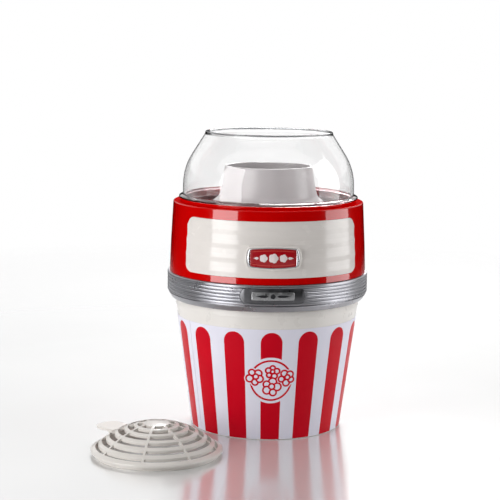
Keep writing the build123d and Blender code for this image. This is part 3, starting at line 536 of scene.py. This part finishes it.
def make_badge():
    """Red enamel plate in a bright frame, with three popped kernels between two flourishes."""
    red, ivory, centre = FINISHES["badge_red"], FINISHES["panel_ivory"], (0, BADGE_Z)
    face = bowed(*BADGE_SIZE, BADGE_BOW, 0.3, 1.5)
    rim = bowed(*FRAME_SIZE, BADGE_BOW, FRAME_BULGE, 2.5)
    width, height = FRAME_SIZE
    pad = bowed(width + 3.8, height + 3.8, BADGE_BOW, 2.2, 3.6)

    layers = [(0, BADGE_R - 1.3), (0, BADGE_R - 0.3), (0.25, BADGE_R - 0.06), (0.6, BADGE_R)]
    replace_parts(bent_plate("badge_enamel", face, layers, centre, red), "badge_plate")
    frame_profile = [(0, BADGE_R - 1.2), (0, BADGE_R - 0.5), (0.12, BADGE_R + 0.1), (0.3, BADGE_R + 0.42)]
    frame_profile += [(0.5, BADGE_R + 0.5), (0.72, BADGE_R + 0.4), (0.9, BADGE_R + 0.1)]
    frame_profile += [(1, BADGE_R - 0.3), (1, BADGE_R - 1.2)]
    bright = FINISHES["badge_chrome"]
    chrome = bent_ring("badge_surround", rim, face, frame_profile, centre, bright)
    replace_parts(chrome, "badge_frame")
    lip_profile = [(-0.12, BADGE_R - 1.3), (-0.12, BADGE_R - 0.5), (0.1, BADGE_R + 0.08), (0.4, BADGE_R + 0.3)]
    lip_profile += [(0.7, BADGE_R + 0.22), (0.93, BADGE_R - 0.1), (0.95, BADGE_R - 1.1)]
    bent_ring("badge_lip", pad, rim, lip_profile, centre, ivory)

    line, field = shrunk_upper(face, 1.7), shrunk_upper(face, 2.1)
    line_layers = [(0, BADGE_R - 0.1), (0, BADGE_R + 0.03), (0.05, BADGE_R + 0.06)]
    bent_plate("badge_line", line, line_layers, centre, FINE_LINE)
    field_layers = [(0, BADGE_R), (0, BADGE_R + 0.08), (0.05, BADGE_R + 0.1)]
    bent_plate("badge_field", field, field_layers, centre, red)

    layers = [(0, BADGE_R), (0, BADGE_R + 0.26), (0.12, BADGE_R + 0.34)]
    for side in (-1, 0, 1):
        kernel = blossom(4.7 if side == 0 else 3.9)
        bent_plate(f"badge_kernel_{side + 1}", kernel, layers, (side * 9.4, BADGE_Z), BRIGHT_INLAY)
    for side, shape in (("left", leaf(5.4, 2.6, 0.6)), ("right", leaf(5.4, 2.6, 1.7))):
        x = -16.6 if side == "left" else 16.6
        bent_plate(f"badge_flourish_{side}", shape, layers, (x, BADGE_Z), BRIGHT_INLAY)


make_label()
make_nameplate()
make_badge()


# ---- Floor, light and camera ----
FILL_LIGHT = 0.12
ROOM_LIGHT = 0.3  # how bright reflections see the room in front, high up
FLOOR_REACH = 1400  # mm
FLOOR_FADE = (0.45, 1.3)  # metres from the middle over which the floor disappears
SOFTBOX_DISTANCE, SOFTBOX_FOOT, SOFTBOX_HEAD = 1.2, -0.05, 1.15  # metres
LIT_POINT = Vector((0, 0, 0.1))
CAMERA_PLACE = (-0.0865, -1.4966, 0.393)
CAMERA_TURNS = (2.63, 8.23, -0.68)  # yaw, pitch and roll in degrees
CAMERA_LENS, CAMERA_SENSOR = 108.2, 36


def make_floor():
    """Pale glossy floor that fades out all round."""
    made = Finish("floor_finish", Metallic=0.42, Emission_Color=(1, 1, 1, 1), Emission_Strength=0.02)
    made.mottled(tone(233, 233, 233), tone(237, 237, 237), 300)
    made.rough(0.15, 0.19, 200)
    place = made.node("ShaderNodeTexCoord").outputs["Object"]
    away = made.node("ShaderNodeVectorMath")
    away.operation = "LENGTH"
    made.feed(away.inputs[0], place)
    fade = made.span(away.outputs["Value"], 1.0, 0.0, *FLOOR_FADE)
    made.feed(made.shader.inputs["Alpha"], fade)
    rings, segments = 12, 96
    points, faces = [(0, 0, 0)], []
    for ring in range(1, rings + 1):
        for k in range(segments):
            angle = math.tau * k / segments
            reach = FLOOR_REACH * (ring / rings) ** 1.5
            points.append((reach * math.cos(angle), reach * math.sin(angle), 0))
    for k in range(segments):
        n = (k + 1) % segments
        faces.append((0, 1 + k, 1 + n))
        for ring in range(rings - 1):
            low, high = 1 + ring * segments, 1 + (ring + 1) * segments
            faces.append((low + k, high + k, high + n, low + n))
    make_object("floor", points, faces, [made.material])


def softbox(name, azimuth, width, power):
    """Tall lamp on one side that faces the object."""
    lamp = bpy.data.lights.new(name, "AREA")
    lamp.shape = "RECTANGLE"
    lamp.size, lamp.size_y = width, SOFTBOX_HEAD - SOFTBOX_FOOT
    lamp.energy = power
    made = bpy.data.objects.new(name, lamp)
    angle = math.radians(azimuth)
    side = Vector((math.cos(angle), math.sin(angle), 0))
    made.location = side * SOFTBOX_DISTANCE
    made.location.z = (SOFTBOX_FOOT + SOFTBOX_HEAD) / 2
    made.rotation_euler = (-side).to_track_quat("-Z", "Y").to_euler()
    made.visible_camera = False
    bpy.context.scene.collection.objects.link(made)


def top_light(name, place, size, power):
    """Round lamp above the object, tilted towards its middle."""
    lamp = bpy.data.lights.new(name, "AREA")
    lamp.shape, lamp.size, lamp.energy = "DISK", size, power
    made = bpy.data.objects.new(name, lamp)
    made.location = place
    made.rotation_euler = (LIT_POINT - made.location).to_track_quat("-Z", "Y").to_euler()
    made.visible_camera = False
    bpy.context.scene.collection.objects.link(made)


def surroundings():
    """White wherever the background shows. Reflections see white high up behind the object and a dark room
    elsewhere, and surfaces are lit by a dim even fill."""
    world = bpy.data.worlds.new("studio")
    bpy.context.scene.world = world
    world.use_nodes = True
    tree = world.node_tree
    tree.nodes.clear()
    new, link = tree.nodes.new, tree.links.new

    def maths(operation, first, second):
        made = new("ShaderNodeMath")
        made.operation, made.use_clamp = operation, True
        for socket, value in zip(made.inputs, (first, second)):
            if isinstance(value, bpy.types.NodeSocket):
                link(value, socket)
            else:
                socket.default_value = value
        return made.outputs["Value"]

    def rising(value, start, end):
        made = new("ShaderNodeMapRange")
        link(value, made.inputs["Value"])
        made.inputs["From Min"].default_value, made.inputs["From Max"].default_value = start, end
        return made.outputs["Result"]

    path, place, split = new("ShaderNodeLightPath"), new("ShaderNodeTexCoord"), new("ShaderNodeSeparateXYZ")
    link(place.outputs["Generated"], split.inputs["Vector"])
    up, away = split.outputs["Z"], split.outputs["Y"]
    behind = maths("MULTIPLY", rising(away, 0.0, 0.5), rising(up, 0.1, 0.15))
    overhead = maths("MULTIPLY", rising(up, 0.25, 0.5), ROOM_LIGHT)
    scattered = maths("MINIMUM", path.outputs["Diffuse Depth"], 1.0)
    direct = maths("SUBTRACT", 1.0, scattered)
    through = maths("MAXIMUM", path.outputs["Is Camera Ray"], path.outputs["Is Transmission Ray"])
    mirrored = maths("MAXIMUM", through, maths("MAXIMUM", behind, overhead))
    fill = maths("MULTIPLY", scattered, FILL_LIGHT)
    strength = maths("ADD", maths("MULTIPLY", mirrored, direct), fill)
    light, output = new("ShaderNodeBackground"), new("ShaderNodeOutputWorld")
    light.inputs["Color"].default_value = (1, 1, 1, 1)
    link(strength, light.inputs["Strength"])
    link(light.outputs["Background"], output.inputs["Surface"])


def make_camera():
    data = bpy.data.cameras.new("camera")
    data.lens, data.sensor_width = CAMERA_LENS, CAMERA_SENSOR
    yaw, pitch, roll = (math.radians(turn) for turn in CAMERA_TURNS)
    ahead = Vector((math.sin(yaw) * math.cos(pitch), math.cos(yaw) * math.cos(pitch), -math.sin(pitch)))
    right = ahead.cross(Vector((0, 0, 1))).normalized()
    up = right.cross(ahead)
    tilted_right = math.cos(roll) * right - math.sin(roll) * up
    tilted_up = math.sin(roll) * right + math.cos(roll) * up
    camera = bpy.data.objects.new("camera", data)
    camera.matrix_world = Matrix((tilted_right, tilted_up, -ahead)).transposed().to_4x4()
    camera.location = CAMERA_PLACE
    bpy.context.scene.collection.objects.link(camera)
    bpy.context.scene.camera = camera


make_floor()
softbox("left_softbox", azimuth=216.3, width=0.675, power=12.3)
softbox("right_softbox", azimuth=355, width=0.81, power=9)
top_light("top_light", (-0.1, 0.15, 1.6), size=0.9, power=1.5)
top_light("back_light", (0.2, 1.15, 0.95), size=0.8, power=17)
surroundings()
make_camera()
bpy.context.scene.view_settings.view_transform = "Standard"
